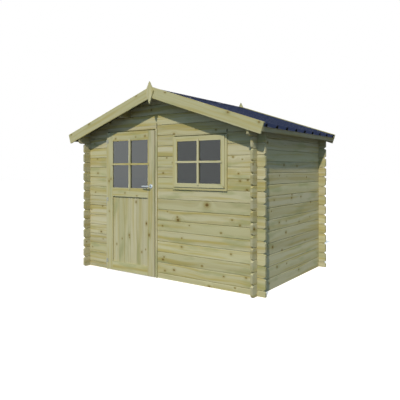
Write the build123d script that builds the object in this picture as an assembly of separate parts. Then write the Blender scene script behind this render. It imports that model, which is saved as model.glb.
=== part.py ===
"""Log-built garden shed: notched tongue-and-groove log walls, a gable roof of
box-rib steel sheets, an overlay door that opens outwards and one fixed window.

Sizes are millimetres.  Y = 0 is the outer face of the front wall while the
pieces are made; the finished pieces are moved so that the middle of the shed's
depth lies on Y = 0.  X = 0 is the middle of the width, Z = 0 the ground.
"""
import os
from math import atan, cos, sin

from build123d import *

# Fits
GAP = 0.3                 # seating gap between fixed pieces
SWING_GAP = 5.5           # clearance round the moving door
PIN_GAP = 0.08            # radial clearance of hinge pins and lever necks

# Log walls
LOG = 133.5               # height of one log course
HALF = LOG / 2            # the front and rear courses are half a log higher
WALL = 28.0               # log thickness
FACE_X = 1390.0           # outer face of each side wall
DEPTH = 1780.0            # front wall face to rear wall face
TIP = 100.0               # log ends beyond the corners
TIP_CHAMFER_L = 30.0      # chamfer of a log end, along the log
TIP_CHAMFER_H = 20.0
BEVEL = 6.0               # edge bevel that makes the V seam
TONGUE_W = 9.0
TONGUE_H = 9.0
JOINT_STOP = 15.0         # tongues and grooves end this far from the corner notches
SIDE_COURSES = 13

# Roof
RISE = 0.3325             # roof fall in height per unit of width
ANGLE = atan(RISE)
EAVE_LIFT = 11.0          # roof plane over the eave course at the wall's outer face
SHEET = 2.0
RIB_PITCH = 242.7
RIB_H = 35.0
RIB_BASE = 62.0
RIB_CREST = 34.0
RIB_NARROW = 1.4          # ribs are this much narrower on each side underneath
SHEET_STOP = 1.5          # sheets end this far from the ridge line
EAVE_OUT = 191.0          # roof edge beyond the side walls
VERGE = 202.3             # barge board face in front of the front wall
REAR_VERGE = 113.1        # barge board face behind the rear wall
BARGE_T = 18.0
BARGE_W = 129.0
BARGE_UP = 50.0           # apex of the cover strips over the roof plane
STRIP_T = 8.0
STRIP_W = 38.0
RIDGE_FLANGE = 115.0
PURLIN_W = 44.0
PURLIN_H = 96.0
PURLIN_X = 570.0
EAVE_BOARD_INSET = 9.0    # outer face of the eave board inside the roof edge
EAVE_BOARD_T = 18.0
EAVE_BOARD_H = 51.5
FINIAL_DROP = 60.5        # widest line of the finial below the cover strips' apex
FINIAL_UP = 121.0
FINIAL_DOWN = 157.0
FINIAL_HALF = 64.0

# Door
LEAF_X0 = -973.0
LEAF_W = 883.0
LEAF_Z0 = 10.0
LEAF_TOP_RISE = 5.0       # leaf top over the top of the eave course
LEAF_T = 40.0
LEAF_PROUD = 33.0         # leaf face in front of the wall face
STILE = 115.5
TOP_RAIL = 117.0
MID_RAIL_Z0 = 1011.0
MID_RAIL = 118.0
BOTTOM_RAIL = 118.0
TENON = 45.0
TENON_T = 14.0
TENON_SHOULDER = 0.2      # share of the rail left off each edge of its tenon
PANEL_T = 15.0
PANEL_BACK = 20.0         # panel face behind the leaf face
PANEL_BOARDS = 6
PANEL_VEE = 4.0           # bevel and tongue of the panel boards
PANEL_TONGUE = 5.0
REBATE = 10.0             # depth of the grooves for panel and glass
GLASS_T = 4.0
GLASS_BACK = 8.0          # glass behind the face of leaf or sash
BAR_W = 24.0              # glazing bars
BAR_PROUD = 10.0          # bars in front of the face of leaf or sash
BAR_LAP = 23.0            # bar ends on the stiles and rails
DOOR_CROSS_DROP = 312.0   # middle of the cross bar below the top rail
FRAME_PROUD = 18.0
FRAME_COVER = 10.0        # frame flange over the log ends
CLOSING_GAP = 1.0         # extra clearance on the lever's side
FRAME_WEB = 12.0
FRAME_STOP = 30.0         # stop behind the leaf edge
FRAME_BACK = 46.0         # inner face of the frames
INNER_COVER = 20.0
DOOR_HEAD_GAP = 18.0      # open joint over the leaf
SILL_H = 30.0
HEAD_STOP = 38.0

# Hinges
HINGE_OUT = 8.0           # hinge axis outside the leaf edge
HINGE_Y = -27.0
KNUCKLE_R = 7.0
KNUCKLE_H = 50.0          # half of one hinge
PIN_R = 3.0
HINGE_LOW = 90.0          # lowest hinge above the leaf's lower edge
HINGE_MIDDLE = 930.0
HINGE_TOP = 142.0         # highest hinge below the leaf's upper edge
HINGE_PLATE = 2.0
HINGE_LEAF_W = 40.0

# Lever handle
LEVER_UP = 149.0          # lever axis above the middle rail's lower edge
ROSETTE_R = 29.0
ROSETTE_T = 8.0
NECK_R = 8.0
EDGE = 2.0                # rounding of the handle's ends
GRIP_OUT = 50.0           # middle of the grip in front of the leaf
GRIP_L = 130.0
GRIP_R = 10.5
SPINDLE = 8.0
STILE_BORE_R = 9.0

# Window
WIN_X0 = 230.0
WIN_W = 747.0
WIN_FOOT = 28.0           # sash above the log course under it
WIN_HEAD = 31.0           # sash below the log course over it
WIN_PROUD = 30.0
WIN_T = 40.0
SASH = 50.5
WIN_TOP_RAIL = 55.0
WIN_FLANGE = 27.5         # visible frame margin round the sash
WIN_BOTTOM_RAIL = 48.0
WIN_CROSS_DROP = 250.0    # middle of the cross bar below the top of the pane
LINTEL_DROP = 13.0        # the log over the window reaches down to here
KERF_W = 14.0             # upright cuts beside the lowered logs over door and window
KERF_H = 36.0
DOOR_KERF_H = 70.0
WIN_HEAD_GAP = 13.0       # open joint between that log and the frame
WIN_STOP = 25.0           # stop behind the sash edge
WIN_SILL_MARGIN = 33.0    # visible frame margin below the sash
WINDOW_COURSES = 8        # whole front courses below the window

EAVE_Z = SIDE_COURSES * LOG
PAN_TOP = EAVE_Z + LOG + EAVE_LIFT + RISE * FACE_X
ROOF_HALF = FACE_X + EAVE_OUT
BARGE_TOP = PAN_TOP + BARGE_UP
BACK_Y = DEPTH + REAR_VERGE
MID_Y = (BACK_Y - VERGE) / 2
INNER_X = FACE_X - WALL
TIP_X = FACE_X + TIP
PLATE_Y0 = -VERGE + BARGE_T + GAP
PLATE_Y1 = BACK_Y - BARGE_T - GAP
LEAF_X1 = LEAF_X0 + LEAF_W
LEAF_Z1 = EAVE_Z + LOG + LEAF_TOP_RISE
MID_RAIL_Z1 = MID_RAIL_Z0 + MID_RAIL
BOTTOM_RAIL_Z1 = LEAF_Z0 + BOTTOM_RAIL
DOOR_HEAD_Z = LEAF_Z1 + DOOR_HEAD_GAP
DOOR_POST_X0 = LEAF_X0 - SWING_GAP
DOOR_POST_X1 = LEAF_X1 + SWING_GAP + CLOSING_GAP
DOOR_CUT_X0 = DOOR_POST_X0 - FRAME_WEB
DOOR_CUT_X1 = DOOR_POST_X1 + FRAME_WEB
TOP_COURSE = SIDE_COURSES  # the front course over the window
WIN_X1 = WIN_X0 + WIN_W
WIN_CUT_X0 = WIN_X0 - FRAME_WEB - GAP
WIN_CUT_X1 = WIN_X1 + FRAME_WEB + GAP
WIN_CUT_Z0 = HALF + WINDOW_COURSES * LOG
WIN_CUT_Z1 = HALF + TOP_COURSE * LOG
WIN_Z0 = WIN_CUT_Z0 + WIN_FOOT
WIN_Z1 = WIN_CUT_Z1 - WIN_HEAD
SLOPE_GAP = GAP / cos(ANGLE)

NODES = {}


def keep(name, *pieces):
    """Collect the solids of one named piece."""
    solids = []
    for piece in pieces:
        solids.extend(piece.solids())
    NODES[name] = solids


def face(points):
    return make_face(Polyline(*points, close=True))


def along_x(points, x0, x1):
    """Prism along X from a section given as (y, z)."""
    plane = Plane(origin=(x0, 0, 0), x_dir=(0, 1, 0), z_dir=(1, 0, 0))
    return extrude(plane * face(points), amount=x1 - x0)


def along_y(points, y0, y1):
    """Prism along Y from a section given as (x, z)."""
    plane = Plane(origin=(0, y0, 0), x_dir=(1, 0, 0), z_dir=(0, -1, 0))
    return extrude(plane * face(points), amount=y0 - y1)


def along_z(points, z0, z1):
    """Prism along Z from a section given as (x, y)."""
    return extrude(Pos(0, 0, z0) * face(points), amount=z1 - z0)


def block(x0, x1, y0, y1, z0, z1):
    centre = Pos((x0 + x1) / 2, (y0 + y1) / 2, (z0 + z1) / 2)
    return centre * Box(x1 - x0, y1 - y0, z1 - z0)


def rod_y(x, z, radius, y0, y1):
    return Pos(x, (y0 + y1) / 2, z) * Rot(90, 0, 0) * Cylinder(radius, y1 - y0)


def rod_z(x, y, radius, z0, z1):
    return Pos(x, y, (z0 + z1) / 2) * Cylinder(radius, z1 - z0)


def pan_z(x):
    """Height of the roof plane that the sheets lie on."""
    return PAN_TOP - RISE * abs(x)


# Log courses
ABOVE_ROOF = along_y(
    [
        (-ROOF_HALF, pan_z(ROOF_HALF) - SLOPE_GAP),
        (0, PAN_TOP - SLOPE_GAP),
        (ROOF_HALF, pan_z(ROOF_HALF) - SLOPE_GAP),
        (ROOF_HALF, PAN_TOP + LOG),
        (-ROOF_HALF, PAN_TOP + LOG),
    ],
    -VERGE,
    BACK_Y,
)


def purlin_section(x):
    """Section of a purlin as (x, z), its top following the roof plane."""
    left = x - PURLIN_W / 2
    right = x + PURLIN_W / 2
    foot = pan_z(x) - PURLIN_H
    points = [(left, foot), (right, foot), (right, pan_z(right) - SLOPE_GAP)]
    if left < 0 < right:
        points.append((0, PAN_TOP - SLOPE_GAP))
    points.append((left, pan_z(left) - SLOPE_GAP))
    return points


PURLINS = {"left_purlin": -PURLIN_X, "ridge_purlin": 0, "right_purlin": PURLIN_X}
PURLIN_SLOTS = [
    block(
        x - PURLIN_W / 2 - GAP,
        x + PURLIN_W / 2 + GAP,
        -VERGE,
        BACK_Y,
        pan_z(x) - PURLIN_H - GAP,
        PAN_TOP + LOG,
    )
    for x in PURLINS.values()
]


def log_section(outer, inward, z0, z1):
    """Section of one log, bevelled along its seams; it stands square on the ground."""
    face_in = outer + inward * WALL
    top = z1 - GAP
    foot = [
        (outer, z0 + BEVEL),
        (outer + inward * BEVEL, z0),
        (face_in - inward * BEVEL, z0),
        (face_in, z0 + BEVEL),
    ]
    if z0 == 0:
        foot = [(outer, z0), (face_in, z0)]
    return foot + [
        (face_in, top - BEVEL),
        (face_in - inward * BEVEL, top),
        (outer + inward * BEVEL, top),
        (outer, top - BEVEL),
    ]


def corner(s, z, ds, dz):
    """Triangle that takes the corner (s, z) off a log end."""
    return [(s - ds, z - dz), (s + ds * TIP_CHAMFER_L, z - dz), (s - ds, z + dz * TIP_CHAMFER_H)]


def between_notches(a, b, stop):
    """The stretch of a to b that lies clear of the corner notches at +stop and -stop."""
    return max(a, -stop), min(b, stop)


def log_x(outer, inward, z0, z1, x0, x1, tongues=None, grooves=None):
    """One front or rear log from x0 to x1, notched over the side walls."""
    body = along_x(log_section(outer, inward, z0, z1), x0, x1)
    near, far = sorted((outer, outer + inward * WALL))
    middle = (near + far) / 2
    top = z1 - GAP
    stop = INNER_X - JOINT_STOP
    for a, b in [(x0, x1)] if tongues is None else tongues:
        a, b = between_notches(a, b, stop)
        body += block(a, b, middle - TONGUE_W / 2, middle + TONGUE_W / 2, top, top + TONGUE_H)
    cuts = []
    if z0 == 0:
        grooves = ()
    for a, b in [(x0, x1)] if grooves is None else grooves:
        a, b = between_notches(a - GAP, b + GAP, stop + GAP)
        half = TONGUE_W / 2 + GAP
        cuts.append(block(a, b, middle - half, middle + half, z0 - GAP, z0 + TONGUE_H + GAP))
    for side in (-1, 1):
        tip = side * TIP_X
        if not x0 <= tip <= x1:
            continue
        a, b = sorted((side * (INNER_X - GAP), side * (FACE_X + GAP)))
        cuts.append(block(a, b, near - GAP, far + GAP, z1 - LOG / 4 - GAP, z1 + LOG))
        if z0 > 0:
            cuts.append(block(a, b, near - GAP, far + GAP, z0 - LOG, z0 + LOG / 4))
        cuts.append(along_y(corner(tip, top, -side, -1), near - GAP, far + GAP))
        if z0 > 0:
            cuts.append(along_y(corner(tip, z0, -side, 1), near - GAP, far + GAP))
    return body - cuts


def log_y(side, z0, z1, y0, y1, tongue=True, groove=True):
    """One side-wall log from y0 to y1, notched over the front and rear walls."""
    body = along_y(log_section(side * FACE_X, -side, z0, z1), y0, y1)
    a, b = sorted((side * (FACE_X + GAP), side * (INNER_X - GAP)))
    middle = (a + b) / 2
    top = z1 - GAP
    seam_y0 = WALL + JOINT_STOP
    seam_y1 = DEPTH - WALL - JOINT_STOP
    half = TONGUE_W / 2
    cuts = []
    if tongue:
        body += block(middle - half, middle + half, seam_y0, seam_y1, top, top + TONGUE_H)
    if groove:
        half += GAP
        depth = z0 + TONGUE_H + GAP
        cuts.append(
            block(middle - half, middle + half, seam_y0 - GAP, seam_y1 + GAP, z0 - GAP, depth)
        )
    for n0, n1 in ((-GAP, WALL + GAP), (DEPTH - WALL - GAP, DEPTH + GAP)):
        cuts.append(block(a, b, n0, n1, z0 + LOG * 3 / 4 - GAP, z1 + LOG))
        cuts.append(block(a, b, n0, n1, z0 - LOG, z0 + LOG / 4))
    for y, dy in ((y0, 1), (y1, -1)):
        cuts.append(along_x(corner(y, z0, dy, 1), a, b))
        if tongue:
            cuts.append(along_x(corner(y, top, dy, -1), a, b))
    return body - cuts


def half_courses(first, last):
    """Courses of the front and rear walls as (z0, z1); course -1 is the half log."""
    levels = []
    for course in range(first, last + 1):
        levels.append((max(0.0, HALF + course * LOG), HALF + (course + 1) * LOG))
    return levels


# Side walls
for name, side in (("left", -1), ("right", 1)):
    logs = []
    for course in range(SIDE_COURSES):
        z0 = course * LOG
        logs.append(log_y(side, z0, z0 + LOG, -TIP, DEPTH + TIP, groove=course > 0))
    keep(f"{name}_wall", *logs)
    eave = log_y(side, EAVE_Z, EAVE_Z + LOG * 2, PLATE_Y0, PLATE_Y1, tongue=False)
    keep(f"{name}_eave_log", eave - ABOVE_ROOF)

# Front wall
keep(
    "front_wall_left",
    *[
        log_x(0, 1, z0, z1, -TIP_X, DOOR_CUT_X0) - ABOVE_ROOF
        for z0, z1 in half_courses(-1, TOP_COURSE)
    ],
)
BESIDE_WINDOW = ((DOOR_CUT_X1, WIN_CUT_X0), (WIN_CUT_X1, TIP_X))
logs = []
for z0, z1 in half_courses(-1, WINDOW_COURSES - 1):
    tongues = BESIDE_WINDOW if z1 == WIN_CUT_Z0 else None
    logs.append(log_x(0, 1, z0, z1, DOOR_CUT_X1, TIP_X, tongues=tongues))
keep("front_wall_below_window", *logs)
for name, (x0, x1) in zip(("front_wall_pier", "front_wall_right"), BESIDE_WINDOW):
    logs = [log_x(0, 1, z0, z1, x0, x1) for z0, z1 in half_courses(WINDOW_COURSES, TOP_COURSE - 1)]
    keep(name, *logs)
over_window = log_x(
    0, 1, WIN_CUT_Z1, WIN_CUT_Z1 + LOG, DOOR_CUT_X1, TIP_X, grooves=BESIDE_WINDOW
)
over_window += block(
    WIN_CUT_X0 + GAP, WIN_CUT_X1 - GAP, 0, WALL, WIN_CUT_Z1 - LINTEL_DROP, WIN_CUT_Z1 + BEVEL
)
kerf = block(
    WIN_CUT_X1 - GAP, WIN_CUT_X1 + KERF_W,
    -GAP, WALL + GAP,
    WIN_CUT_Z1 - LINTEL_DROP, WIN_CUT_Z1 + KERF_H,
)
keep("front_wall_over_window", over_window - [ABOVE_ROOF, kerf])

# Gables and rear wall
gable_levels = []
level = WIN_CUT_Z1 + LOG
while level < PAN_TOP - LOG / 4:
    gable_levels.append((level, level + LOG))
    level += LOG
for name, outer, inward in (("front", 0.0, 1), ("rear", DEPTH, -1)):
    logs = []
    for z0, z1 in gable_levels:
        reach = (PAN_TOP - z0) / RISE
        tongues = () if z1 > PAN_TOP - TONGUE_H else None
        body = log_x(outer, inward, z0, z1, -reach, reach, tongues=tongues)
        if name == "front" and z0 == gable_levels[0][0]:
            body += block(
                DOOR_CUT_X0 + GAP, DOOR_CUT_X1 - GAP, 0, WALL, DOOR_HEAD_Z, z0 + TONGUE_H + BEVEL
            )
            body -= block(
                DOOR_CUT_X1 - KERF_W, DOOR_CUT_X1,
                -GAP, WALL + GAP,
                DOOR_HEAD_Z - GAP, DOOR_HEAD_Z + DOOR_KERF_H,
            )
        logs.append(body - [ABOVE_ROOF, *PURLIN_SLOTS])
    keep(f"{name}_gable", *logs)
keep(
    "rear_wall",
    *[
        log_x(DEPTH, -1, z0, z1, -TIP_X, TIP_X) - ABOVE_ROOF
        for z0, z1 in half_courses(-1, TOP_COURSE)
    ],
)

# Roof
for name, x in PURLINS.items():
    keep(name, along_y(purlin_section(x), PLATE_Y0, PLATE_Y1))


def rib_line(offset, inset):
    """Points (y, n) of one surface of a box-rib sheet, front to rear."""
    line = [(PLATE_Y0, offset)]
    first = PLATE_Y0 + RIB_BASE / 2 + GAP
    count = int((PLATE_Y1 - first - RIB_BASE / 2) / RIB_PITCH) + 1
    for k in range(count):
        y = first + k * RIB_PITCH
        line.append((y - RIB_BASE / 2 + inset, offset))
        line.append((y - RIB_CREST / 2 + inset, offset + RIB_H))
        line.append((y + RIB_CREST / 2 - inset, offset + RIB_H))
        line.append((y + RIB_BASE / 2 - inset, offset))
    line.append((PLATE_Y1, offset))
    return line


slope = Plane(
    origin=(0, 0, PAN_TOP),
    x_dir=(0, 1, 0),
    z_dir=(cos(ANGLE), 0, -sin(ANGLE)),
)
outline = rib_line(SHEET, 0.0) + rib_line(0.0, RIB_NARROW)[::-1]
right_sheet = extrude(slope * face(outline), amount=ROOF_HALF / cos(ANGLE))
right_sheet = right_sheet - block(-ROOF_HALF, SHEET_STOP, -VERGE, BACK_Y, 0, PAN_TOP + LOG)
keep("right_roof_sheet", right_sheet)
keep("left_roof_sheet", mirror(right_sheet, about=Plane.YZ))

cap_z = PAN_TOP + (SHEET + RIB_H + GAP) / cos(ANGLE)
cap_t = SHEET / cos(ANGLE)
cap_x = RIDGE_FLANGE * cos(ANGLE)
cap_section = [
    (-cap_x, cap_z - RISE * cap_x),
    (0, cap_z),
    (cap_x, cap_z - RISE * cap_x),
    (cap_x, cap_z - RISE * cap_x + cap_t),
    (0, cap_z + cap_t),
    (-cap_x, cap_z - RISE * cap_x + cap_t),
]
keep("ridge_cap", along_y(cap_section, PLATE_Y0, PLATE_Y1))


def raking_board(top, width, half_gap):
    """Right-hand raking board as (x, z): plumb cut at the ridge, square end."""
    drop = width / cos(ANGLE)
    end_z = top - RISE * ROOF_HALF
    return [
        (half_gap, top - RISE * half_gap),
        (ROOF_HALF, end_z),
        (ROOF_HALF - width * sin(ANGLE), end_z - width * cos(ANGLE)),
        (half_gap, top - drop - RISE * half_gap),
    ]


def both_sides(piece):
    return [piece, mirror(piece, about=Plane.YZ)]


strip_drop = (STRIP_T + GAP) / cos(ANGLE)
for name, face_y, inward in (("front", -VERGE, 1), ("rear", BACK_Y, -1)):
    y0, y1 = sorted((face_y, face_y + inward * BARGE_T))
    board = raking_board(BARGE_TOP - strip_drop, BARGE_W - STRIP_T, GAP / 2)
    keep(f"{name}_barge_boards", *both_sides(along_y(board, y0, y1)))
    y0, y1 = sorted((face_y, face_y + inward * STRIP_W))
    strip = raking_board(BARGE_TOP, STRIP_T, GAP / 2)
    keep(f"{name}_cover_strips", *both_sides(along_y(strip, y0, y1)))
    y0, y1 = sorted((face_y - inward * GAP, face_y - inward * BARGE_T))
    wide_z = BARGE_TOP - FINIAL_DROP
    kite = [
        (0, wide_z + FINIAL_UP),
        (-FINIAL_HALF, wide_z),
        (0, wide_z - FINIAL_DOWN),
        (FINIAL_HALF, wide_z),
    ]
    keep(f"{name}_finial", along_y(kite, y0, y1))

for name, side in (("left", -1), ("right", 1)):
    outer = ROOF_HALF - EAVE_BOARD_INSET
    inner = outer - EAVE_BOARD_T * cos(ANGLE)
    lean = EAVE_BOARD_H * sin(ANGLE)
    drop = EAVE_BOARD_H * cos(ANGLE)
    section = [
        (side * inner, pan_z(inner) - SLOPE_GAP),
        (side * outer, pan_z(outer) - SLOPE_GAP),
        (side * (outer - lean), pan_z(outer) - drop),
        (side * (inner - lean), pan_z(inner) - drop),
    ]
    keep(f"{name}_eave_board", along_y(section, PLATE_Y0, PLATE_Y1))

# Door frame


def post_section(edge, out, cover_edge):
    """Frame post as (x, y): edge is the side next to the leaf, out points away."""
    wall_x = edge + out * (FRAME_WEB - GAP)
    leaf_back = LEAF_T - LEAF_PROUD + SWING_GAP
    return [
        (cover_edge, -FRAME_PROUD),
        (edge, -FRAME_PROUD),
        (edge, leaf_back),
        (edge - out * FRAME_STOP, leaf_back),
        (edge - out * FRAME_STOP, FRAME_BACK),
        (wall_x + out * INNER_COVER, FRAME_BACK),
        (wall_x + out * INNER_COVER, WALL + GAP),
        (wall_x, WALL + GAP),
        (wall_x, -GAP),
        (cover_edge, -GAP),
    ]


post_top = DOOR_HEAD_Z - GAP
for name, edge, out in (("left", DOOR_POST_X0, -1), ("right", DOOR_POST_X1, 1)):
    cover = edge + out * (FRAME_WEB + FRAME_COVER)
    keep(f"door_post_{name}", along_z(post_section(edge, out, cover), 0, post_top))
stop_x0 = DOOR_POST_X0 + FRAME_STOP + GAP
stop_x1 = DOOR_POST_X1 - FRAME_STOP - GAP
stop_y = LEAF_T - LEAF_PROUD + SWING_GAP
head_section = [
    (stop_y, DOOR_HEAD_Z - HEAD_STOP),
    (FRAME_BACK, DOOR_HEAD_Z - HEAD_STOP),
    (FRAME_BACK, DOOR_HEAD_Z + INNER_COVER),
    (WALL + GAP, DOOR_HEAD_Z + INNER_COVER),
    (WALL + GAP, DOOR_HEAD_Z - GAP),
    (stop_y, DOOR_HEAD_Z - GAP),
]
keep("door_head", along_x(head_section, stop_x0, stop_x1))
keep("door_sill", block(stop_x0, stop_x1, stop_y, FRAME_BACK, 0, SILL_H))

# Door leaf


def glazing_cross(x0, x1, z0, z1, cross_z, face_y, back_y):
    """Glazing bars on both sides of a pane: upright and cross bar halved together, the outer
    pair let into the wood round the pane. Returns the bars and the seats to cut for them."""
    mid_x = (x0 + x1) / 2
    half = BAR_W / 2
    outer = (face_y - BAR_PROUD, face_y + GLASS_BACK - GAP)
    inner = (face_y + GLASS_BACK + GLASS_T + GAP, back_y)
    bars = []
    for (y0, y1), lap in ((outer, BAR_LAP), (inner, -GAP)):
        lap_y = (y0 + y1) / 2
        upright = block(mid_x - half, mid_x + half, y0, y1, z0 - lap, z1 + lap)
        cross = block(x0 - lap, x1 + lap, y0, y1, cross_z - half, cross_z + half)
        low, high = cross_z - half - GAP, cross_z + half + GAP
        bars.append(upright - block(x0, x1, y0 - GAP, lap_y + GAP, low, high))
        bars.append(cross - block(mid_x - half - GAP, mid_x + half + GAP, lap_y, y1 + GAP, z0, z1))
    seats = [
        block(
            mid_x - half - GAP, mid_x + half + GAP,
            outer[0], outer[1] + GAP,
            z0 - BAR_LAP - GAP, z1 + BAR_LAP + GAP,
        ),
        block(
            x0 - BAR_LAP - GAP, x1 + BAR_LAP + GAP,
            outer[0], outer[1] + GAP,
            cross_z - half - GAP, cross_z + half + GAP,
        ),
    ]
    return bars, seats


leaf_y0 = -LEAF_PROUD
leaf_y1 = LEAF_T - LEAF_PROUD
field_x0 = LEAF_X0 + STILE
field_x1 = LEAF_X1 - STILE
field_z1 = LEAF_Z1 - TOP_RAIL
panel_y0 = leaf_y0 + PANEL_BACK
glass_y0 = leaf_y0 + GLASS_BACK
mid_y = (leaf_y0 + leaf_y1) / 2

panel_groove = block(
    field_x0 - REBATE, field_x1 + REBATE,
    panel_y0 - GAP, panel_y0 + PANEL_T + GAP,
    BOTTOM_RAIL_Z1 - REBATE, MID_RAIL_Z0 + REBATE,
)
glass_groove = block(
    field_x0 - REBATE, field_x1 + REBATE,
    glass_y0 - GAP, glass_y0 + GLASS_T + GAP,
    MID_RAIL_Z1 - REBATE, field_z1 + REBATE,
)
door_cross, door_seats = glazing_cross(
    field_x0, field_x1, MID_RAIL_Z1, field_z1, field_z1 - DOOR_CROSS_DROP, leaf_y0, leaf_y1
)
rails = []
mortises = []
for z0, z1 in ((LEAF_Z0, BOTTOM_RAIL_Z1), (MID_RAIL_Z0, MID_RAIL_Z1), (field_z1, LEAF_Z1)):
    inset = (z1 - z0) * TENON_SHOULDER
    rail = block(field_x0 + GAP, field_x1 - GAP, leaf_y0, leaf_y1, z0, z1)
    tenon = block(
        field_x0 - TENON, field_x1 + TENON,
        mid_y - TENON_T / 2, mid_y + TENON_T / 2,
        z0 + inset, z1 - inset,
    )
    mortises.append(
        block(
            field_x0 - TENON - GAP, field_x1 + TENON + GAP,
            mid_y - TENON_T / 2 - GAP, mid_y + TENON_T / 2 + GAP,
            z0 + inset - GAP, z1 - inset + GAP,
        )
    )
    rails.append(rail + tenon - [panel_groove, glass_groove, *door_seats])
keep("door_rails", *rails)
LEVER_X = LEAF_X1 - STILE / 2
LEVER_Z = MID_RAIL_Z0 + LEVER_UP
spindle_bore = rod_y(LEVER_X, LEVER_Z, STILE_BORE_R, leaf_y0 - GAP, leaf_y1 + GAP)
stiles = []
for x0, x1 in ((LEAF_X0, field_x0), (field_x1, LEAF_X1)):
    stile = block(x0, x1, leaf_y0, leaf_y1, LEAF_Z0, LEAF_Z1)
    stiles.append(stile - [panel_groove, glass_groove, *mortises, *door_seats, spindle_bore])
keep("door_stiles", *stiles)

board_x0 = field_x0 - REBATE + GAP
board_pitch = (field_x1 + REBATE - GAP - board_x0) / PANEL_BOARDS
boards = []
for k in range(PANEL_BOARDS):
    a = board_x0 + k * board_pitch
    b = a + board_pitch - GAP
    y0, y1 = panel_y0, panel_y0 + PANEL_T
    section = [
        (a, y0 + PANEL_VEE),
        (a + PANEL_VEE, y0),
        (b - PANEL_VEE, y0),
        (b, y0 + PANEL_VEE),
    ]
    if k < PANEL_BOARDS - 1:
        section += [
            (b, y0 + PANEL_TONGUE + GAP),
            (b + PANEL_TONGUE, y0 + PANEL_TONGUE + GAP),
            (b + PANEL_TONGUE, y1 - PANEL_TONGUE - GAP),
            (b, y1 - PANEL_TONGUE - GAP),
        ]
    section += [(b, y1), (a, y1)]
    if k > 0:
        section += [
            (a, y1 - PANEL_TONGUE),
            (a + PANEL_TONGUE + GAP, y1 - PANEL_TONGUE),
            (a + PANEL_TONGUE + GAP, y0 + PANEL_TONGUE),
            (a, y0 + PANEL_TONGUE),
        ]
    boards.append(
        along_z(section, BOTTOM_RAIL_Z1 - REBATE + GAP, MID_RAIL_Z0 + REBATE - GAP)
    )
keep("door_panel", *boards)
keep(
    "door_glass",
    block(
        field_x0 - REBATE + GAP, field_x1 + REBATE - GAP,
        glass_y0, glass_y0 + GLASS_T,
        MID_RAIL_Z1 - REBATE + GAP, field_z1 + REBATE - GAP,
    ),
)
keep("door_glazing_bars", *door_cross)

# Hinges
HINGE_X = LEAF_X0 - HINGE_OUT
frame_halves = []
leaf_halves = []
for z in (LEAF_Z0 + HINGE_LOW, LEAF_Z0 + HINGE_MIDDLE, LEAF_Z1 - HINGE_TOP):
    low = rod_z(HINGE_X, HINGE_Y, KNUCKLE_R, z - KNUCKLE_H, z - GAP)
    plate_y1 = -FRAME_PROUD - GAP
    low_plate = block(
        DOOR_POST_X0 - FRAME_WEB - FRAME_COVER / 2, HINGE_X + KNUCKLE_R / 2,
        plate_y1 - HINGE_PLATE, plate_y1, z - KNUCKLE_H, z - GAP,
    )
    pin = rod_z(HINGE_X, HINGE_Y, PIN_R, z - KNUCKLE_H, z + KNUCKLE_H)
    frame_halves.append(low + low_plate + pin)
    high = rod_z(HINGE_X, HINGE_Y, KNUCKLE_R, z + GAP, z + KNUCKLE_H)
    high_plate = block(
        HINGE_X, HINGE_X + HINGE_LEAF_W,
        leaf_y0 - GAP - HINGE_PLATE, leaf_y0 - GAP, z + GAP, z + KNUCKLE_H,
    )
    bore = rod_z(HINGE_X, HINGE_Y, PIN_R + PIN_GAP, z, z + KNUCKLE_H)
    leaf_halves.append(high + high_plate - bore)
keep("hinge_frame_halves", *frame_halves)
keep("hinge_leaf_halves", *leaf_halves)

# Lever handle
rosettes = []
levers = []
for front, out in ((leaf_y0, -1), (leaf_y1, 1)):
    base = front + out * GAP
    y0, y1 = sorted((base, base + out * ROSETTE_T))
    disc = rod_y(LEVER_X, LEVER_Z, ROSETTE_R, y0, y1)
    rosettes.append(disc - rod_y(LEVER_X, LEVER_Z, NECK_R + PIN_GAP, y0 - GAP, y1 + GAP))
    y0, y1 = sorted((base, front + out * (GRIP_OUT - GRIP_R / 2)))
    neck = rod_y(LEVER_X, LEVER_Z, NECK_R, y0, y1)
    grip = Pos(LEVER_X + NECK_R - GRIP_L / 2, front + out * GRIP_OUT, LEVER_Z)
    grip *= Rot(0, 90, 0) * Cylinder(GRIP_R, GRIP_L)
    grip = chamfer(grip.edges(), EDGE)
    levers.append(neck + grip)
keep("handle_rosettes", *rosettes)
spindle = block(
    LEVER_X - SPINDLE / 2, LEVER_X + SPINDLE / 2,
    leaf_y0 - GAP, leaf_y1 + GAP,
    LEVER_Z - SPINDLE / 2, LEVER_Z + SPINDLE / 2,
)
keep("lever_handle", levers[0] + spindle + levers[1])

# Window
frame_x0 = WIN_X0 - WIN_FLANGE
frame_x1 = WIN_X1 + WIN_FLANGE
frame_z0 = WIN_Z0 - WIN_SILL_MARGIN
frame_z1 = WIN_CUT_Z1 - LINTEL_DROP - WIN_HEAD_GAP
sash_back = WIN_T - WIN_PROUD


def ring(x0, x1, z0, z1, hole, y0, y1):
    hx0, hx1, hz0, hz1 = hole
    return block(x0, x1, y0, y1, z0, z1) - block(hx0, hx1, y0 - GAP, y1 + GAP, hz0, hz1)


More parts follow.
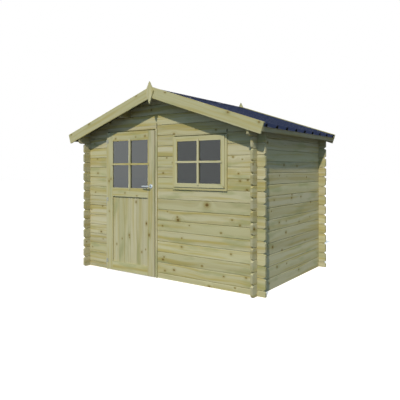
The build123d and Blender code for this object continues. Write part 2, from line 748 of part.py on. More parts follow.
sash_hole = (WIN_X0 - GAP, WIN_X1 + GAP, WIN_Z0 - GAP, WIN_Z1 + GAP)
stop_hole = (
    WIN_X0 + WIN_STOP, WIN_X1 - WIN_STOP,
    WIN_Z0 + WIN_STOP, WIN_Z1 - WIN_STOP,
)
web = (WIN_CUT_X0 + GAP, WIN_CUT_X1 - GAP, WIN_CUT_Z0 + GAP, frame_z1)
window_ring = (
    ring(frame_x0, frame_x1, frame_z0, frame_z1, sash_hole, -FRAME_PROUD, -GAP)
    + ring(*web, sash_hole, -GAP, sash_back + GAP)
    + ring(*web, stop_hole, sash_back + GAP, FRAME_BACK)
    + ring(
        frame_x0 - BEVEL, frame_x1 + BEVEL, frame_z0, WIN_CUT_Z1 + INNER_COVER,
        stop_hole, WALL + GAP, FRAME_BACK,
    )
)
reach = FRAME_BACK * 4
mid_h = (WIN_Z1 - WIN_Z0) / 2
mid_z = (WIN_Z0 + WIN_Z1) / 2
mitre = [
    (WIN_X0 - reach, WIN_Z0 - reach + GAP),
    (WIN_X0 + mid_h, mid_z),
    (WIN_X0 - reach, WIN_Z1 + reach - GAP),
]
mitre_right = [(WIN_X0 + WIN_X1 - x, z) for x, z in mitre]
mitre_head = [
    (WIN_X0 - reach + GAP, WIN_Z1 + reach),
    (WIN_X0 + mid_h, mid_z + GAP),
    (WIN_X1 - mid_h, mid_z + GAP),
    (WIN_X1 + reach - GAP, WIN_Z1 + reach),
]
mitre_sill = [(x, WIN_Z0 + WIN_Z1 - z) for x, z in mitre_head]
members = [
    window_ring & along_y(wedge, -FRAME_BACK, FRAME_BACK * 2)
    for wedge in (mitre, mitre_right, mitre_head, mitre_sill)
]
keep("window_frame", *members)

sash_y0 = -WIN_PROUD
pane_x0 = WIN_X0 + SASH
pane_x1 = WIN_X1 - SASH
pane_z0 = WIN_Z0 + WIN_BOTTOM_RAIL
pane_z1 = WIN_Z1 - WIN_TOP_RAIL
pane_y0 = sash_y0 + GLASS_BACK
pane_groove = block(
    pane_x0 - REBATE, pane_x1 + REBATE,
    pane_y0 - GAP, pane_y0 + GLASS_T + GAP,
    pane_z0 - REBATE, pane_z1 + REBATE,
)
window_cross, window_seats = glazing_cross(
    pane_x0, pane_x1, pane_z0, pane_z1, pane_z1 - WIN_CROSS_DROP, sash_y0, sash_back
)
sash_pieces = []
for x0, x1, z0, z1 in (
    (WIN_X0, pane_x0, WIN_Z0, WIN_Z1),
    (pane_x1, WIN_X1, WIN_Z0, WIN_Z1),
    (pane_x0 + GAP, pane_x1 - GAP, WIN_Z0, pane_z0),
    (pane_x0 + GAP, pane_x1 - GAP, pane_z1, WIN_Z1),
):
    bar = block(x0, x1, sash_y0, sash_back, z0, z1)
    sash_pieces.append(bar - [pane_groove, *window_seats])
keep("window_sash", *sash_pieces)
keep(
    "window_glass",
    block(
        pane_x0 - REBATE + GAP, pane_x1 + REBATE - GAP,
        pane_y0, pane_y0 + GLASS_T,
        pane_z0 - REBATE + GAP, pane_z1 + REBATE - GAP,
    ),
)
keep("window_glazing_bars", *window_cross)

# Export
os.makedirs("parts", exist_ok=True)
for name, solids in NODES.items():
    moved = [Pos(0, -MID_Y, 0) * solid for solid in solids]
    piece = moved[0] if len(moved) == 1 else Compound(children=moved)
    export_step(piece, f"parts/{name}.step")
    print(name, len(moved))
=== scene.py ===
import bpy
import bmesh
from math import atan, cos, pi, radians, sin
from mathutils import Matrix, Vector


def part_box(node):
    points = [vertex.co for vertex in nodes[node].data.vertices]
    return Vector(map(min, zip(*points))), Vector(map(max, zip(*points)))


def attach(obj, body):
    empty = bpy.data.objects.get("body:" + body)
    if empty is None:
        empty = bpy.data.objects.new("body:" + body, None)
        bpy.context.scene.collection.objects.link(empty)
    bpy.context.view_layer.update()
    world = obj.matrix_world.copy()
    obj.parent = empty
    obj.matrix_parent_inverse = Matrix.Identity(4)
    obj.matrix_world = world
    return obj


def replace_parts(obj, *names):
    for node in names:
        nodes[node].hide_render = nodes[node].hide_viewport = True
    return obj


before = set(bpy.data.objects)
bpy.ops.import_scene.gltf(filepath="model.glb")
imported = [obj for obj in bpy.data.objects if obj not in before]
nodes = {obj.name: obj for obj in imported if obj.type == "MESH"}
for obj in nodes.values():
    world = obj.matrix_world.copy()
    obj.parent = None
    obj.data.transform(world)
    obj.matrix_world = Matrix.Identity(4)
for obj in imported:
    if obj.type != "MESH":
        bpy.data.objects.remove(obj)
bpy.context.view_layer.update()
scene = bpy.context.scene

# The view: a level camera at eye height, front right of the shed. The optical axis
# does not pass through the middle of the picture, so the lens is shifted a little.
PICTURE_PX = 400
FOCAL_PX = 437.64
AXIS_PX = (224.57, 168.14)
SENSOR_MM = 36.0
EYE = (3.7518, -4.9806, 1.3917)
EYE_TURN = 33.999
camera_data = bpy.data.cameras.new("view")
camera_data.sensor_width = SENSOR_MM
camera_data.lens = FOCAL_PX * SENSOR_MM / PICTURE_PX
camera_data.shift_x = (PICTURE_PX / 2 - AXIS_PX[0]) / PICTURE_PX
camera_data.shift_y = (AXIS_PX[1] - PICTURE_PX / 2) / PICTURE_PX
camera = bpy.data.objects.new("view", camera_data)
camera.location = EYE
camera.rotation_euler = (radians(90), 0, radians(EYE_TURN))
scene.collection.objects.link(camera)
scene.camera = camera
scene.view_settings.view_transform = "Standard"

# The light: one sun from the front right, as high as the shadow of the roof edge on
# the wall says, and a weak blue lamp for the brighter sky in front. A soft lamp behind
# on the left is for the sides that the sun does not reach.
for name, energy, spread, colour, travel in (
    ("sun", 3.1, 1.6, (1.0, 0.955, 0.88), (-0.437, 1.093, -1.0)),
    ("back_fill", 1.1, 20, (1.0, 1.0, 1.0), (0.8, -1.0, -0.12)),
    ("front_sky", 0.21, 40, (0.32, 0.56, 1.0), (-0.2, 1.0, -0.15)),
):
    lamp_data = bpy.data.lights.new(name, "SUN")
    lamp_data.energy = energy
    lamp_data.angle = radians(spread)
    lamp_data.color = colour
    lamp = bpy.data.objects.new(name, lamp_data)
    lamp.rotation_euler = Vector(travel).to_track_quat("-Z", "Y").to_euler()
    scene.collection.objects.link(lamp)

# The sky: cool and even, so that it fills the shadows. Plain white is seen in its
# place, also through the panes and in all that mirrors.
SKY = (0.272, 0.42, 0.625)


class Wiring:
    """Short calls for the nodes of one material, sky or group."""

    def __init__(self, tree):
        self.tree = tree

    def node(self, kind, **settings):
        made = self.tree.nodes.new(kind)
        for key, value in settings.items():
            setattr(made, key, value)
        return made

    def feed(self, socket, value):
        """Wires a socket to another one, or sets it to a value."""
        if isinstance(value, bpy.types.NodeSocket):
            self.tree.links.new(value, socket)
        elif value is not None:
            socket.default_value = value

    def math(self, operation, a, b=None, c=None):
        made = self.node("ShaderNodeMath", operation=operation)
        for socket, value in zip(made.inputs, (a, b, c)):
            self.feed(socket, value)
        return made.outputs[0]

    def vector(self, operation, a, b=None):
        made = self.node("ShaderNodeVectorMath", operation=operation)
        self.feed(made.inputs[0], a)
        self.feed(made.inputs[1], b)
        return made.outputs["Value" if operation == "LENGTH" else "Vector"]

    def xyz(self, x, y, z):
        made = self.node("ShaderNodeCombineXYZ")
        for socket, value in zip(made.inputs, (x, y, z)):
            self.feed(socket, value)
        return made.outputs[0]

    def split(self, vector):
        made = self.node("ShaderNodeSeparateXYZ")
        self.feed(made.inputs[0], vector)
        return made.outputs[:3]

    def noise(self, vector, scale, detail=2.0, rough=0.5):
        made = self.node("ShaderNodeTexNoise")
        self.feed(made.inputs["Vector"], vector)
        self.feed(made.inputs["Scale"], scale)
        self.feed(made.inputs["Detail"], detail)
        self.feed(made.inputs["Roughness"], rough)
        return made.outputs["Fac"]

    def band(self, value, low, high):
        """0 at low, 1 at high, smooth between."""
        made = self.node("ShaderNodeMapRange", interpolation_type="SMOOTHSTEP")
        self.feed(made.inputs["Value"], value)
        self.feed(made.inputs["From Min"], low)
        self.feed(made.inputs["From Max"], high)
        return made.outputs["Result"]

    def blend(self, share, a, b, mode="MIX"):
        """Colour a with that share of colour b."""
        made = self.node("ShaderNodeMix", data_type="RGBA", blend_type=mode)
        self.feed(made.inputs[0], share)
        self.feed(made.inputs[6], a)
        self.feed(made.inputs[7], b)
        return made.outputs[2]

    def pick(self, switch, a, b):
        """Vector a where the switch is 0, vector b where it is 1."""
        made = self.node("ShaderNodeMix", data_type="VECTOR")
        self.feed(made.inputs[0], switch)
        self.feed(made.inputs[4], a)
        self.feed(made.inputs[5], b)
        return made.outputs[1]

    def join(self, share, a, b):
        """Shader a with that share of shader b."""
        made = self.node("ShaderNodeMixShader")
        self.feed(made.inputs["Fac"], share)
        self.feed(made.inputs[1], a.outputs[0])
        self.feed(made.inputs[2], b.outputs[0])
        return made


def background_rays(w):
    """1 for rays that show the background: seen, through glass or mirrored."""
    rays = w.node("ShaderNodeLightPath").outputs
    seen = w.math("MAXIMUM", rays["Is Camera Ray"], rays["Is Transmission Ray"])
    return w.math("MAXIMUM", seen, rays["Is Glossy Ray"])


world = bpy.data.worlds.new("sky")
scene.world = world
world.use_nodes = True
world.node_tree.nodes.clear()
w = Wiring(world.node_tree)
fill = w.node("ShaderNodeBackground")
fill.inputs["Color"].default_value = (*SKY, 1)
white = w.node("ShaderNodeBackground")
white.inputs["Color"].default_value = (1, 1, 1, 1)
overhead = w.join(background_rays(w), fill, white)
w.feed(w.node("ShaderNodeOutputWorld").inputs["Surface"], overhead.outputs[0])

# The floor: a plain pale sheet that the shed stands on. The camera sees it white
# with the shed's shadow, and it throws only a little light back up.
FLOOR_HALF = 40
SEEN_GLOW, BASE_GLOW = 0.35, 0.10
floor_mesh = bmesh.new()
bmesh.ops.create_grid(floor_mesh, x_segments=1, y_segments=1, size=FLOOR_HALF)
floor_data = bpy.data.meshes.new("floor")
floor_mesh.to_mesh(floor_data)
floor_mesh.free()
floor = bpy.data.objects.new("floor", floor_data)
scene.collection.objects.link(floor)
floor_paint = bpy.data.materials.new("floor_paint")
floor_paint.use_nodes = True
floor_paint.node_tree.nodes.clear()
w = Wiring(floor_paint.node_tree)
matt = w.node("ShaderNodeBsdfDiffuse")
matt.inputs["Color"].default_value = (0.90, 0.81, 0.72, 1)
glow = w.node("ShaderNodeEmission")
glow.inputs["Color"].default_value = (1, 1, 1, 1)
camera_ray = w.node("ShaderNodeLightPath").outputs["Is Camera Ray"]
w.feed(glow.inputs["Strength"], w.math("MULTIPLY_ADD", camera_ray, SEEN_GLOW, BASE_GLOW))
lit = w.node("ShaderNodeAddShader")
w.feed(lit.inputs[0], matt.outputs[0])
w.feed(lit.inputs[1], glow.outputs[0])
dull = w.node("ShaderNodeBsdfDiffuse")
dull.inputs["Color"].default_value = (0.20, 0.20, 0.19, 1)
sheet = w.join(background_rays(w), dull, lit)
w.feed(w.node("ShaderNodeOutputMaterial").inputs["Surface"], sheet.outputs[0])
floor_data.materials.append(floor_paint)

# The log walls: planed pine, pressure-treated pale green-brown, one log on another.
# Every log is cut from its own tree, so grain, tone and knots change at each seam,
# and the growth rings run through to the sawn log ends, which are a little darker.
LOG = 0.1335
ONE_BOARD = 10.0
NO_KNOT = 9.0
SAWN_SHADE = -0.21
END_FACING = 0.8


def srgb(r, g, b):
    """A colour written as it looks, 0 to 255, as the shader's linear value."""
    linear = []
    for c in (r, g, b):
        c /= 255
        linear.append(c / 12.92 if c <= 0.04045 else ((c + 0.055) / 1.055) ** 2.4)
    return (*linear, 1.0)


def pine_grain():
    """Node group: x along the grain, y across the face, z into the board, in metres."""
    group = bpy.data.node_groups.new("pine_grain", "ShaderNodeTree")
    sockets = group.interface
    sockets.new_socket("Vector", in_out="INPUT", socket_type="NodeSocketVector")
    for name in ("Pitch", "Phase", "Seed", "Knots", "Placed", "Tone and shade", "Streaks"):
        sockets.new_socket(name, in_out="INPUT", socket_type="NodeSocketFloat")
    sockets.new_socket("Color", in_out="OUTPUT", socket_type="NodeSocketColor")
    sockets.new_socket("Height", in_out="OUTPUT", socket_type="NodeSocketFloat")
    w = Wiring(group)
    given = w.node("NodeGroupInput").outputs
    along, across, deep = w.split(given["Vector"])

    # Which board this is, three draws of its own, and the length shifted by a draw
    raised = w.math("SUBTRACT", across, given["Phase"])
    course = w.math("FLOOR", w.math("DIVIDE", raised, given["Pitch"]))
    middle = w.math("MULTIPLY", w.math("ADD", course, 0.5), given["Pitch"])
    local = w.math("SUBTRACT", raised, middle)
    dice = w.node("ShaderNodeTexWhiteNoise", noise_dimensions="2D")
    w.feed(dice.inputs["Vector"], w.xyz(course, given["Seed"], 0.0))
    draw_a, draw_b, draw_c = w.split(dice.outputs["Color"])
    shift = w.math("MULTIPLY_ADD", given["Seed"], 3.1, along)
    shifted = w.math("MULTIPLY_ADD", draw_a, 17.0, shift)

    # Knots: at most one in each stretch of a board, some stretches have none
    KNOT_CELL = (0.36, 0.12)
    spot = w.xyz(
        w.math("DIVIDE", shifted, KNOT_CELL[0]),
        w.math("MULTIPLY_ADD", course, 5.0, w.math("DIVIDE", local, KNOT_CELL[1])),
        0.0,
    )
    cells = w.node("ShaderNodeTexVoronoi", voronoi_dimensions="2D", feature="F1")
    w.feed(cells.inputs["Vector"], spot)
    w.feed(cells.inputs["Scale"], 1.0)
    size_draw, chance = w.split(cells.outputs["Color"])[:2]
    away = w.vector("SUBTRACT", spot, cells.outputs["Position"])
    away = w.vector("MULTIPLY", away, (*KNOT_CELL, 0.0))
    ragged = w.noise(w.xyz(along, across, deep), 60.0)
    distance = w.math(
        "ADD", w.vector("LENGTH", w.vector("MULTIPLY", away, (0.8, 1.0, 0.0))),
        w.math("MULTIPLY_ADD", ragged, 0.008, -0.004),
    )
    radius = w.math("MULTIPLY_ADD", w.math("POWER", size_draw, 2.0), 0.009, 0.0055)
    there = w.math("LESS_THAN", chance, given["Knots"])
    absent = w.math("MULTIPLY_ADD", there, -NO_KNOT, NO_KNOT)
    stray = w.math("ADD", w.math("DIVIDE", distance, radius), absent)
    placed = w.math("MULTIPLY_ADD", ragged, 0.7, w.math("SUBTRACT", given["Placed"], 0.35))
    closeness = w.math("MINIMUM", stray, placed)
    spread = w.math("POWER", w.math("MULTIPLY", closeness, 0.42), 2.0)
    swell = w.math("EXPONENT", w.math("MULTIPLY", spread, -1.0))
    halo = w.band(closeness, 2.6, 0.9)
    core = w.band(closeness, 1.15, 0.5)
    eye = w.band(closeness, 0.7, 0.1)

    # Growth rings round a heart that lies a little off the board
    RINGS_PER_METRE = 150.0
    bend = w.xyz(w.math("MULTIPLY", shifted, 1.1), w.math("MULTIPLY", local, 3.0), draw_b)
    drift = w.math("MULTIPLY_ADD", w.noise(bend, 1.0, 2.0), 0.09, -0.045)
    heart = w.math("MULTIPLY_ADD", draw_c, 0.16, -0.08)
    beside = w.math("ADD", heart, w.math("ADD", local, drift))
    below = w.math("ADD", w.math("MULTIPLY_ADD", draw_b, 0.08, 0.03), deep)
    ring = w.vector("LENGTH", w.xyz(beside, below, 0.0))
    ring = w.math("MULTIPLY_ADD", swell, 0.035, ring)
    lines = w.node("ShaderNodeTexNoise", noise_dimensions="1D")
    w.feed(lines.inputs["W"], w.math("MULTIPLY", ring, RINGS_PER_METRE))
    w.feed(lines.inputs["Scale"], 1.0)
    w.feed(lines.inputs["Detail"], 2.0)
    late = w.band(lines.outputs["Fac"], 0.44, 0.66)

    # Broad streaks of sapwood, clouds of the green treatment, and fine fibres
    FIBRES_PER_METRE = 260.0
    long_patch = w.xyz(
        w.math("MULTIPLY", shifted, 0.8), w.math("MULTIPLY", beside, 20.0), w.math("MULTIPLY", below, 14.0),
    )
    sap = w.band(w.noise(long_patch, 1.0, 3.0, 0.55), 0.44, 0.66)
    soft_patch = w.xyz(w.math("MULTIPLY", shifted, 2.2), w.math("MULTIPLY", local, 9.0), draw_a)
    cloud = w.noise(soft_patch, 1.0, 3.0)
    thin_patch = w.xyz(
        w.math("MULTIPLY", shifted, 9.0), w.math("MULTIPLY", across, FIBRES_PER_METRE),
        w.math("MULTIPLY", deep, FIBRES_PER_METRE),
    )
    fibre = w.noise(thin_patch, 1.0, 2.0)
    colour = w.blend(draw_b, srgb(189, 181, 145), srgb(180, 174, 130))
    colour = w.blend(w.math("MULTIPLY", sap, given["Streaks"]), colour, srgb(168, 153, 86))
    colour = w.blend(w.math("MULTIPLY", w.band(cloud, 0.52, 0.72), 0.6), colour, srgb(148, 150, 102))
    colour = w.blend(w.math("MULTIPLY", late, 0.22), colour, srgb(142, 124, 74))
    stain = w.math("MULTIPLY", swell, w.band(cloud, 0.3, 0.6))
    colour = w.blend(w.math("MULTIPLY", stain, 0.5), colour, srgb(146, 136, 84))
    colour = w.blend(w.math("MULTIPLY", halo, 0.6), colour, srgb(146, 131, 72))
    colour = w.blend(w.math("MULTIPLY", core, 0.9), colour, srgb(116, 91, 42))
    colour = w.blend(w.math("MULTIPLY", eye, 0.7), colour, srgb(72, 53, 27))

    # The board's own tone, darkened along its seams by painted shade where the grooves between boards lie
    # in shade, and scaled by the given tone and shade
    SEAM_SHADE_WIDTH = 0.0055
    tone_and_shade = w.math("MULTIPLY_ADD", draw_c, 0.14, 0.92)
    tone_and_shade = w.math("MULTIPLY_ADD", fibre, 0.10, w.math("SUBTRACT", tone_and_shade, 0.05))
    edge = w.math("SUBTRACT", w.math("MULTIPLY", given["Pitch"], 0.5), w.math("ABSOLUTE", local))
    painted_seam_shade = w.math("MULTIPLY_ADD", w.band(edge, 0.0, SEAM_SHADE_WIDTH), 0.26, 0.74)
    tone_and_shade = w.math("MULTIPLY", w.math("MULTIPLY", tone_and_shade, painted_seam_shade), given["Tone and shade"])
    colour = w.blend(1.0, colour, w.xyz(tone_and_shade, tone_and_shade, tone_and_shade), "MULTIPLY")
    height = w.math("MULTIPLY_ADD", late, 0.35, w.math("MULTIPLY", fibre, 0.5))
    height = w.math("MULTIPLY_ADD", core, -0.6, height)
    result = w.node("NodeGroupOutput")
    w.feed(result.inputs["Color"], colour)
    w.feed(result.inputs["Height"], height)
    return group


grain_group = pine_grain()


def knot_field(w, along, across, spots):
    """How near the nearest of some knots is, in its own radii; a spot is along, across, radius."""
    near = None
    for a, c, radius in spots:
        away = w.xyz(
            w.math("MULTIPLY", w.math("SUBTRACT", along, a), 0.75 / radius),
            w.math("MULTIPLY", w.math("SUBTRACT", across, c), 1.0 / radius),
            0.0,
        )
        length = w.vector("LENGTH", away)
        near = length if near is None else w.math("MINIMUM", near, length)
    return near


def new_finish(name):
    """A new material: itself, its wiring, its shader and each point's place."""
    material = bpy.data.materials.new(name)
    material.use_nodes = True
    w = Wiring(material.node_tree)
    shader = material.node_tree.nodes["Principled BSDF"]
    return material, w, shader, w.node("ShaderNodeTexCoord").outputs["Object"]


def roughen(w, shader, height, strength, depth):
    """Gives a surface fine relief."""
    bump = w.node("ShaderNodeBump")
    bump.inputs["Strength"].default_value = strength
    bump.inputs["Distance"].default_value = depth
    w.feed(bump.inputs["Height"], height)
    w.feed(shader.inputs["Normal"], bump.outputs["Normal"])


def pine(name, grain, pitch=ONE_BOARD, phase=-ONE_BOARD / 2, seed=0.0, knots=0.3, lay=None, spots=(),
         tone_and_shade=1.0, streaks=0.85):
    """Pressure-treated pine with its grain along x, y or z; boards repeat every pitch.
    Lay makes the vector along, across and into the board where the grain turns.
    Sawn ends are darker and have no knots."""
    material, w, shader, place = new_finish(name)
    x, y, z = w.split(place)
    if lay:
        vector = lay(w, x, y, z)
    else:
        vector = w.xyz(*{"x": (x, z, y), "y": (y, z, x), "z": (z, x, y)}[grain])
    wood = w.node("ShaderNodeGroup", node_tree=grain_group)
    w.feed(wood.inputs["Vector"], vector)
    for key, value in (("Pitch", pitch), ("Phase", phase), ("Seed", seed), ("Streaks", streaks)):
        wood.inputs[key].default_value = value
    facing = w.split(w.node("ShaderNodeNewGeometry").outputs["Normal"])["xyz".index(grain)]
    sawn = w.math("GREATER_THAN", w.math("ABSOLUTE", facing), END_FACING)
    # The tone and shade factor is the wood's own tone, and for parts that sit in shadow it also holds
    # painted shade.
    w.feed(wood.inputs["Tone and shade"], w.math("MULTIPLY_ADD", sawn, SAWN_SHADE * tone_and_shade, tone_and_shade))
    w.feed(wood.inputs["Knots"], w.math("MULTIPLY_ADD", sawn, -knots, knots))
    wood.inputs["Placed"].default_value = NO_KNOT
    if spots:
        along, across = w.split(vector)[:2]
        w.feed(wood.inputs["Placed"], knot_field(w, along, across, spots))
    w.feed(shader.inputs["Base Color"], wood.outputs["Color"])
    shader.inputs["Roughness"].default_value = 0.7
    shader.inputs["Specular IOR Level"].default_value = 0.12
    roughen(w, shader, wood.outputs["Height"], 0.35, 0.0012)
    return material


def dress(node, material):
    """Gives a CAD node its finish."""
    part = nodes[node]
    if not part.material_slots:
        part.data.materials.append(material)
    for held in part.material_slots:
        held.material = material


SIDE_KNOTS = (
    (0.178, 1.419, 0.011), (-0.248, 0.411, 0.009), (0.429, 0.438, 0.008), (0.03, 1.06, 0.009),
    (-0.45, 1.02, 0.007), (0.62, 0.93, 0.010), (-0.58, 0.70, 0.008), (0.24, 0.70, 0.009),
)
FRONT_KNOTS = {
    "front_wall_below_window": (
        (0.714, 0.960, 0.023), (0.273, 0.755, 0.018), (0.262, 0.79, 0.009), (1.104, 0.047, 0.007),
        (1.248, 0.180, 0.008), (1.064, 0.807, 0.008), (0.913, 0.648, 0.008), (0.028, 0.241, 0.012),
        (0.045, 0.275, 0.008), (0.060, 0.105, 0.009), (0.209, 0.133, 0.011), (0.641, 0.236, 0.009),
        (0.330, 0.430, 0.009), (0.02, 0.665, 0.008), (0.95, 0.155, 0.007), (1.17, 0.755, 0.008),
        (0.45, 0.70, 0.006), (1.05, 0.42, 0.008), (0.10, 0.85, 0.006),
    ),
    "front_wall_pier": ((0.19, 1.46, 0.008), (0.03, 1.33, 0.010), (0.09, 1.52, 0.007)),
    "front_wall_right": (
        (1.235, 0.719, 0.008), (1.261, 1.151, 0.011), (1.170, 1.249, 0.010), (1.077, 1.517, 0.008),
        (1.15, 1.33, 0.009), (1.27, 1.26, 0.008), (1.20, 1.49, 0.006),
    ),
    "front_wall_left": (
        (-1.20, 1.32, 0.009), (-1.10, 0.86, 0.008), (-1.13, 0.50, 0.011), (-1.25, 1.05, 0.007),
        (-1.09, 0.40, 0.006), (-1.21, 1.52, 0.008),
    ),
    "front_wall_over_window": ((0.209, 1.814, 0.010), (0.843, 1.835, 0.009), (0.55, 1.86, 0.006)),
}
FEW, MANY = 0.08, 0.3
for number, side in enumerate(("left", "right")):
    spots = SIDE_KNOTS if side == "right" else ()
    dress(f"{side}_wall", pine(f"{side}_logs", "y", LOG, 0.0, seed=1 + number, spots=spots, streaks=0.65))
    # The eave logs get painted shade, tone and shade 0.9, for the shadow of the eaves they sit in.
    dress(f"{side}_eave_log", pine(f"{side}_eave_pine", "y", LOG, 0.0, seed=3 + number, tone_and_shade=0.9))
for number, node in enumerate((
    "front_wall_left", "front_wall_pier", "front_wall_below_window", "front_wall_right",
    "front_wall_over_window", "front_gable", "rear_wall", "rear_gable",
)):
    spots = FRONT_KNOTS.get(node, ())
    knots = FEW if spots else MANY
    dress(node, pine(f"{node}_pine", "x", LOG, LOG / 2, seed=5 + number, knots=knots, spots=spots))

# The roof timber: purlins from gable to gable, a board behind each eave, the raking
# barge boards with their cover strips, and a diamond finial at each ridge end.
RISE = 0.3325
ROOF_ANGLE = atan(RISE)
# The purlins get painted shade, tone and shade 0.7, for the shade under the roof.
for number, node in enumerate(("left_purlin", "ridge_purlin", "right_purlin")):
    dress(node, pine(f"{node}_pine", "y", seed=20 + number, tone_and_shade=0.7))
# The eave boards get painted shade, tone and shade 0.75, for the shadow of the roof edge over them.
for number, node in enumerate(("left_eave_board", "right_eave_board")):
    dress(node, pine(f"{node}_pine", "y", seed=24 + number, tone_and_shade=0.75))
BARGE_KNOTS = ((-0.496, 2.259, 0.010), (0.860, 2.253, 0.009), (0.454, 2.255, 0.012), (1.30, 2.24, 0.008))


def raking(w, x, y, z):
    """The lay of boards that run down both slopes."""
    run = w.math("ABSOLUTE", x)
    return w.xyz(
        w.math("MULTIPLY_ADD", z, -sin(ROOF_ANGLE), w.math("MULTIPLY", run, cos(ROOF_ANGLE))),
        w.math("MULTIPLY_ADD", z, cos(ROOF_ANGLE), w.math("MULTIPLY", run, sin(ROOF_ANGLE))),
        w.math("MULTIPLY_ADD", w.math("SIGN", x), 0.07, y),
    )


for number, node in enumerate(("front_barge_boards", "rear_barge_boards")):
    dress(node, pine(
        f"{node}_pine", "x", seed=26.5 + number, knots=0.0, lay=raking, spots=BARGE_KNOTS,
        tone_and_shade=0.97, streaks=0.6,
    ))
for number, node in enumerate(("front_cover_strips", "rear_cover_strips")):
    dress(node, pine(f"{node}_pine", "x", seed=29 + number, knots=0.1, lay=raking))
for number, node in enumerate(("front_finial", "rear_finial")):
    dress(node, pine(f"{node}_pine", "z", seed=31 + number, knots=0.0))

# The roof covering: cold-rolled box-rib steel with a dark blue-grey coat on top and a
# plain dark one below, screwed down on the purlins, and a folded cap over the ridge.
coated_steel, w, shader, place = new_finish("coated_steel")
dust = w.noise(place, 3.0, 4.0)
coat = w.blend(w.math("MULTIPLY", w.band(dust, 0.4, 0.7), 0.35), srgb(25, 35, 60), srgb(31, 41, 66))
upward = w.split(w.node("ShaderNodeNewGeometry").outputs["Normal"])[2]
coat = w.blend(w.band(upward, 0.0, -0.05), coat, srgb(26, 26, 25))
w.feed(shader.inputs["Base Color"], coat)
w.feed(shader.inputs["Roughness"], w.math("MULTIPLY_ADD", dust, 0.2, 0.5))
shader.inputs["Specular IOR Level"].default_value = 0.12
roughen(w, shader, w.noise(place, 240.0, 2.0), 0.12, 0.001)
for node in ("left_roof_sheet", "right_roof_sheet", "ridge_cap"):
    dress(node, coated_steel)

# The door frame: planed pine posts, head and sill round the doorway, with upright
# grain in the posts and level grain in the head and the sill.
for number, node in enumerate(("door_post_left", "door_post_right")):
    dress(node, pine(f"{node}_pine", "z", seed=40 + number))
for number, node in enumerate(("door_head", "door_sill")):
    dress(node, pine(f"{node}_pine", "x", seed=42 + number))

# The door leaf: stiles and rails of planed pine, with a panel of narrow upright boards
# in their grooves. One pitch parts the two stiles, and another the rails.
STILE_PITCH, RAIL_PITCH, PANEL_PITCH = 0.7675, 0.8, 0.11188
dress("door_stiles", pine(
    "stile_pine", "z", STILE_PITCH, -1.2988, seed=64, knots=0.1,
    spots=((0.536, -0.180, 0.013), (1.215, -0.930, 0.010), (1.243, -0.893, 0.008), (0.80, -0.925, 0.006)),
))
dress("door_rails", pine(
    "rail_pine", "x", RAIL_PITCH, -0.2, seed=45, knots=0.1,
    spots=((-0.80, 1.79, 0.009), (-0.42, 1.80, 0.006), (-0.62, 1.06, 0.007), (-0.40, 1.03, 0.006)),
))
dress("door_panel", pine(
    "panel_pine", "z", PANEL_PITCH, -0.8672, seed=46, knots=0.06, tone_and_shade=0.925, streaks=0.55,
    spots=(
        (0.946, -0.434, 0.010), (0.50, -0.56, 0.009), (0.47, -0.555, 0.006), (0.36, -0.80, 0.007),
        (0.30, -0.33, 0.007), (0.34, -0.26, 0.006),
    ),
))

# The glazing bars: a cross of pine bars on both faces of each pane, with level grain
# in the level bar and upright grain in the rest.
HALF_BAR = 0.013


def crossed(level):
    """The lay of a cross whose level bar has its middle at that height."""
    def lay(w, x, y, z):
        inside = w.math("LESS_THAN", w.math("ABSOLUTE", w.math("SUBTRACT", z, level)), HALF_BAR)
        return w.pick(inside, w.xyz(z, x, y), w.xyz(x, z, y))
    return lay


for node, seed, level in (("door_glazing_bars", 47, 1.445), ("window_glazing_bars", 52, 1.46625)):
    dress(node, pine(f"{node}_pine", "z", seed=seed, knots=0.05, lay=crossed(level)))

# The window: a fixed pine sash in a mitred pine frame, and the grain of both turns at
# the corners. An opening is given by its middle and its half sizes, in x and z.
WINDOW_OPENING = (0.6035, 1.467, 0.3735, 0.30425)
PANE_OPENING = (0.6035, 1.4635, 0.3230, 0.25275)


def mitred(opening):
    """The lay of a frame round an opening, each member with its grain along it."""
    middle_x, middle_z, half_x, half_z = opening

    def lay(w, x, y, z):
        right = w.math("SUBTRACT", x, middle_x)
        up = w.math("SUBTRACT", z, middle_z)
        off_x = w.math("SUBTRACT", w.math("ABSOLUTE", right), half_x)
        off_z = w.math("SUBTRACT", w.math("ABSOLUTE", up), half_z)
        upright = w.xyz(w.math("MULTIPLY_ADD", w.math("SIGN", right), 1.7, z), x, y)
        level = w.xyz(w.math("MULTIPLY_ADD", w.math("SIGN", up), 2.3, x), z, y)
        return w.pick(w.math("GREATER_THAN", off_z, off_x), upright, level)
    return lay


dress("window_frame", pine(
    "window_frame_pine", "z", seed=57, knots=0.1, lay=mitred(WINDOW_OPENING), streaks=0.4,
))
dress("window_sash", pine("sash_pine", "z", seed=51, knots=0.1, lay=mitred(PANE_OPENING), streaks=0.5))

# The panes: clear float glass, darkened by the unlit room behind it. Most light goes
# straight through, and each face mirrors more of it the flatter one looks along it.
# The door's pane mirrors a little more than the window's.


def float_glass(name, mirroring):
    """Clear glass whose mirroring follows that index of refraction."""
    material = bpy.data.materials.new(name)
    material.use_nodes = True
    material.node_tree.nodes.clear()
    w = Wiring(material.node_tree)
    through = w.node("ShaderNodeBsdfTransparent")
    through.inputs["Color"].default_value = (0.80, 0.84, 0.83, 1)
    mirror = w.node("ShaderNodeBsdfGlossy")
    mirror.inputs["Color"].default_value = (0.95, 1.0, 0.99, 1)
    mirror.inputs["Roughness"].default_value = 0.02
    fresnel = w.node("ShaderNodeFresnel")
    fresnel.inputs["IOR"].default_value = mirroring
    glass = w.join(fresnel.outputs["Fac"], through, mirror)
    w.feed(w.node("ShaderNodeOutputMaterial").inputs["Surface"], glass.outputs[0])
    return material


dress("door_glass", float_glass("door_pane_glass", 2.27))
dress("window_glass", float_glass("window_pane_glass", 1.85))

